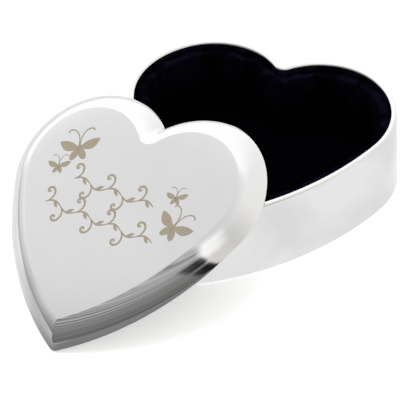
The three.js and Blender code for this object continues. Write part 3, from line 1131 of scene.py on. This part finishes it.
class TRINKET_OT_engraving(bpy.types.Operator):
    """Matt butterflies and scrolls on the face of the lid"""

    bl_idname = "trinket.engraving"
    bl_label = "Engraving"

    # name, middle x, middle y, half span and tilt of each butterfly
    BUTTERFLIES = (
        ("butterfly_upper_left", -22.6, 20.6, 7.4, 20),
        ("butterfly_left", -26.6, 12.8, 4.3, 14),
        ("butterfly_right", 19.8, 13.2, 3.9, 10),
        ("butterfly_lower_right", 23.6, 3.6, 7.0, -16),
    )

    def execute(self, context):
        metal, motif = context.scene.metal_work, context.scene.lid_motif
        for name, x, y, half, tilt in self.BUTTERFLIES:
            inlay = Inlay(metal, motif)
            self.butterfly(inlay, np.array([x, y]) * MM, half * MM, math.radians(tilt))
            inlay.make(name)
        upper = Inlay(metal, motif)
        self.scroll(upper, (-18.5 * MM, 10.2 * MM), (13.5 * MM, 8.2 * MM), 5, motif.stroke)
        upper.make("scroll_upper")
        lower = Inlay(metal, motif)
        self.scroll(lower, (-24.5 * MM, 0.2 * MM), (19.0 * MM, -3.2 * MM), 7, motif.stroke)
        lower.make("scroll_lower")
        return {"FINISHED"}

    def butterfly(self, inlay, middle, half, tilt):
        for side in (1, -1):
            for reach, above, below, bluntness, rise in (
                (1.06, 0.14, 0.3, 0.85, 22),
                (0.68, 0.26, 0.26, 0.5, -60),
            ):
                full = (above, below) if side > 0 else (below, above)
                heading = math.radians(rise if side > 0 else 180 - rise)
                wing = petal(half * reach, *full, bluntness, heading)
                inlay.shape(turn_flat(wing, tilt) + middle)
        body = np.array([[0, 0.24], [0, 0.1], [0, -0.06], [0, -0.22]]) * half
        inlay.stroke(turn_flat(body, tilt) + middle, np.array([0.06, 0.17, 0.2, 0.1]) * half)
        for side in (1, -1):
            start = np.array([side * 0.02, 0.22]) * half
            feeler = curl(start, math.pi / 2 - side * 0.02, half * 0.62, 0.46, -side, 30, 0.72)
            widths = np.linspace(0.05, 0.075, len(feeler)) * half
            inlay.stroke(turn_flat(feeler, tilt) + middle, widths)

    def scroll(self, inlay, start, end, waves, width):
        """A waving stem that throws off a curl and a leaf at each crest."""
        start, end = np.array(start), np.array(end)
        count = 48 * waves
        share = np.linspace(0, 1, count)
        step = (end[0] - start[0]) / waves
        stem = start + share[:, None] * (end - start)
        stem[:, 1] += 0.18 * step * np.sin(share * waves * math.pi)
        inlay.stroke(stem, width * (0.55 + 0.45 * np.abs(np.sin(share * waves * math.pi))))
        for k in range(waves):
            side = 1 if k % 2 == 0 else -1
            i = int((k + 0.12) / waves * (count - 1))
            along = stem[i + 1] - stem[i]
            heading = math.atan2(along[1], along[0])
            spiral = curl(stem[i], heading + side * 0.35, step * 0.31, 1.35, side, 64, 0.8)
            swell = np.sin(math.pi * np.linspace(0.1, 0.95, len(spiral)))
            inlay.stroke(spiral, width * (0.5 + 0.75 * swell))
            j = min(count - 2, i + 16)
            leaf = petal(step * 0.5, 0.17, 0.17, 1.0, heading - side * 1.15)
            inlay.shape(leaf + stem[j])


# ---- Stage ----


class TRINKET_OT_stage(bpy.types.Operator):
    """Pale floor, white surround, softbox and camera"""

    bl_idname = "trinket.stage"
    bl_label = "Stage"

    FLOOR_STEPS, FLOOR_RADIUS = 96, 3.0
    SOFTBOX_SIZE, SOFTBOX_PLACE = 1.2, (-0.35, 0.25, 1.1)
    AIM = (-7.877 * MM, -19.703 * MM)  # point that the camera looks at, at half the box's height

    # how bright the sides of the tent are, by how far forward a mirror looks
    TENT_LEFT = ((-0.3, 1.25), (-0.2, 1.0), (-0.1, 0.9), (0.0, 0.86), (0.2, 0.8), (0.5, 0.72))
    TENT_RIGHT = ((-0.8, 1.05), (0.0, 1.0), (0.3, 0.85), (0.5, 0.74))
    SIDE = (
        *((-0.3, 1.25), (-0.2, 1.0), (-0.12, 0.94), (-0.04, 0.91)),
        *((0.0, 0.88), (0.05, 0.8), (0.1, 0.7), (0.3, 0.58)),
    )
    # the left side again, by how far left
    FAR_LEFT = ((-1.0, 0.85), (-0.96, 0.95), (-0.9, 1.12), (-0.8, 1.1), (-0.74, 1.0))
    # how bright the room in front of it is, by height
    ROOM = ((0.0, 0.17), (0.34, 0.24), (0.5, 0.28), (0.64, 0.38), (0.77, 0.45), (0.87, 0.5), (0.95, 0.65))
    TENT_EDGE = (0.54, 0.706, 0.459)  # direction square to the edge, from the room into the tent
    # the rolled hem of the tent, and the bright line along it, by distance from its edge and by height
    HEM = ((-0.34, 1.0), (-0.2, 0.2), (0.0, 0.06), (0.14, 0.15), (0.22, 1.0))
    HEM_HEIGHTS = ((0.0, 1.0), (0.33, 1.0), (0.39, 0.3), (0.45, 0.3), (0.5, 1.0), (0.7, 0.9), (0.78, 0.0))
    HIGHLIGHT = ((0.12, 1.0), (0.26, 1.6), (0.5, 1.5), (0.8, 1.0))
    HIGHLIGHT_HEIGHTS = ((0.5, 0.15), (0.72, 1.0), (0.9, 1.0), (0.95, 0.3))

    def execute(self, context):
        studio = context.scene.studio_setup
        self.floor()
        self.surround(context.scene, studio)
        self.softbox(studio)
        self.camera(context.scene, studio)
        context.scene.view_settings.view_transform = "Standard"
        return {"FINISHED"}

    def floor(self):
        around = self.FLOOR_STEPS
        turn = np.linspace(0, 2 * math.pi, around, endpoint=False)
        circle = np.c_[np.cos(turn), np.sin(turn)] * self.FLOOR_RADIUS
        rings = [ring_points(circle * share, 0.0) for share in (0.02, 0.1, 0.3, 1.0)]
        points = np.vstack([*rings, [[0, 0, 0]]])
        faces = [tuple(reversed(f)) for f in skin(len(rings), around, False)]
        faces += [(len(points) - 1, i, (i + 1) % around) for i in range(around)]
        ground = add_object("floor", points, faces, shared("floor", floor_paint))

    def surround(self, scene, studio):
        """A white tent that is open towards the front, where mirrors see the darker room."""
        world = bpy.data.worlds.new("surround")
        scene.world = world
        world.use_nodes = True
        tree = world.node_tree
        background = tree.nodes["Background"]
        direction = node(tree, "ShaderNodeTexCoord").outputs["Generated"]
        front = self.along(tree, direction, (0, -1, 0))
        right = self.along(tree, direction, (1, 0, 0))
        up = self.along(tree, direction, (0, 0, 1))
        across = self.along(tree, direction, self.TENT_EDGE)
        flutter = noise(tree, direction, 1.6, 0.0)
        across = maths(tree, "ADD", across, remap(tree, flutter, 0.3, 0.7, -0.02, 0.02))
        to_right = remap(tree, right, -0.2, 0.2, 0.0, 1.0)
        sides = [self.levels(tree, front, table) for table in (self.TENT_LEFT, self.TENT_RIGHT)]
        tent = blend(tree, to_right, *sides)
        room = self.levels(tree, up, self.ROOM)
        shelf = maths(tree, "ADD", up, maths(tree, "MULTIPLY", across, 0.22))
        folds = node(tree, "ShaderNodeTexNoise", {"noise_dimensions": "1D"}, W=shelf, Scale=26.0, Detail=2.0)
        folds = remap(tree, folds.outputs["Fac"], 0.32, 0.68, 0.55, 1.35)
        room = maths(tree, "MULTIPLY", room, folds)
        side = self.levels(tree, front, self.SIDE)
        side = maths(tree, "MULTIPLY", side, remap(tree, up, 0.0, 0.2, 0.8, 1.0))
        side = maths(tree, "ADD", side, maths(tree, "SUBTRACT", self.levels(tree, right, self.FAR_LEFT), 1.0))
        room = blend(tree, remap(tree, front, 0.18, 0.36, 0.0, 1.0), side, room)
        opened = remap(tree, across, 0.02, 0.05, 0.0, 1.0)
        seen = blend(tree, opened, room, tent)
        near_edge = remap(tree, across, -0.25, 0.25, -1.0, 1.0)
        ahead = remap(tree, front, 0.25, 0.45, 0.0, 1.0)
        for line, heights in ((self.HEM, self.HEM_HEIGHTS), (self.HIGHLIGHT, self.HIGHLIGHT_HEIGHTS)):
            share = maths(tree, "MULTIPLY", ahead, self.levels(tree, up, heights))
            line = blend(tree, share, 1.0, self.levels(tree, near_edge, line))
            seen = maths(tree, "MULTIPLY", seen, line)
        seen = maths(tree, "MULTIPLY", seen, remap(tree, up, 0.0, 0.05, 0.55, 1.0))
        camera = node(tree, "ShaderNodeLightPath").outputs["Is Camera Ray"]
        strength = maths(tree, "MULTIPLY", blend(tree, camera, seen, 1.0), studio.surround)
        tree.links.new(strength, background.inputs["Strength"])
        white, ivory = (1, 1, 1, 1), (1, 0.985, 0.945, 1)
        warm = blend_color(tree, remap(tree, right, 0.1, 0.6, 0.0, 1.0), white, ivory)
        tree.links.new(blend_color(tree, camera, warm, white), background.inputs["Color"])

    def along(self, tree, direction, axis):
        made = node(tree, "ShaderNodeVectorMath", {"operation": "DOT_PRODUCT"})
        tree.links.new(direction, made.inputs[0])
        made.inputs[1].default_value = axis
        return made.outputs["Value"]

    def levels(self, tree, value, stops):
        """Straight lines through (value, brightness) stops."""
        share = remap(tree, value, -1.0, 1.0, 0.0, 1.0)
        ramp = tree.nodes.new("ShaderNodeValToRGB")
        ramp.color_ramp.interpolation = "LINEAR"
        tree.links.new(share, ramp.inputs["Fac"])
        places = ramp.color_ramp.elements
        while len(places) < len(stops):
            places.new(0.5)
        for place, (at, bright) in zip(places, stops):
            place.position = (at + 1) / 2
            place.color = (bright / 2, bright / 2, bright / 2, 1)
        return maths(tree, "MULTIPLY", ramp.outputs["Color"], 2.0)

    def softbox(self, studio):
        light = bpy.data.lights.new("softbox", "AREA")
        light.shape = "DISK"
        light.size = self.SOFTBOX_SIZE
        light.energy = studio.key
        made = bpy.data.objects.new("softbox", light)
        made.visible_glossy = False
        made.location = self.SOFTBOX_PLACE
        made.rotation_euler = Vector(made.location).to_track_quat("Z", "Y").to_euler()
        bpy.context.scene.collection.objects.link(made)

    def camera(self, scene, studio):
        data = bpy.data.cameras.new("camera")
        made = bpy.data.objects.new("camera", data)
        scene.collection.objects.link(made)
        az, el, roll = studio.azimuth, studio.elevation, studio.roll
        back = Vector((math.sin(az) * math.cos(el), -math.cos(az) * math.cos(el), math.sin(el)))
        right = Vector((math.cos(az), math.sin(az), 0))
        up = back.cross(right)
        right, up = (
            math.cos(roll) * right + math.sin(roll) * up,
            math.cos(roll) * up - math.sin(roll) * right,
        )
        aim = Vector((*self.AIM, wall_high.z / 2))
        made.matrix_world = frame_matrix(right, up, back, aim + back * studio.distance)
        data.sensor_width = 36
        data.lens = studio.lens
        data.clip_start, data.clip_end = 0.01, 50
        scene.camera = made


# ---- Add-on ----

SETTINGS = (
    ("heart_outline", HeartOutline),
    ("metal_work", MetalWork),
    ("lining_work", LiningWork),
    ("lid_motif", LidMotif),
    ("studio_setup", Studio),
)

OPERATORS = (
    TRINKET_OT_stage,
    TRINKET_OT_box_wall,
    TRINKET_OT_base,
    TRINKET_OT_cards,
    TRINKET_OT_wall_lining,
    TRINKET_OT_floor_lining,
    TRINKET_OT_lid_shell,
    TRINKET_OT_lid_collar,
    TRINKET_OT_lid_lining,
    TRINKET_OT_engraving,
)


class TRINKET_PT_panel(bpy.types.Panel):
    """Builds the trinket box piece by piece"""

    bl_idname = "TRINKET_PT_panel"
    bl_label = "Trinket box"
    bl_space_type = "VIEW_3D"
    bl_region_type = "UI"
    bl_category = "Trinket box"

    def draw(self, context):
        for name, group in SETTINGS:
            box = self.layout.box()
            box.label(text=group.__doc__.split(".")[0].split(":")[0])
            for key in group.__annotations__:
                box.prop(getattr(context.scene, name), key)
        for operator in OPERATORS:
            self.layout.operator(operator.bl_idname)


def register():
    for name, group in SETTINGS:
        bpy.utils.register_class(group)
        setattr(bpy.types.Scene, name, bpy.props.PointerProperty(type=group))
    for made in (*OPERATORS, TRINKET_PT_panel):
        bpy.utils.register_class(made)


def unregister():
    for made in reversed((*OPERATORS, TRINKET_PT_panel)):
        bpy.utils.unregister_class(made)
    for name, group in reversed(SETTINGS):
        delattr(bpy.types.Scene, name)
        bpy.utils.unregister_class(group)


def main():
    register()
    for operator in OPERATORS:
        family, name = operator.bl_idname.split(".")
        getattr(getattr(bpy.ops, family), name)()


if __name__ == "__main__":
    main()
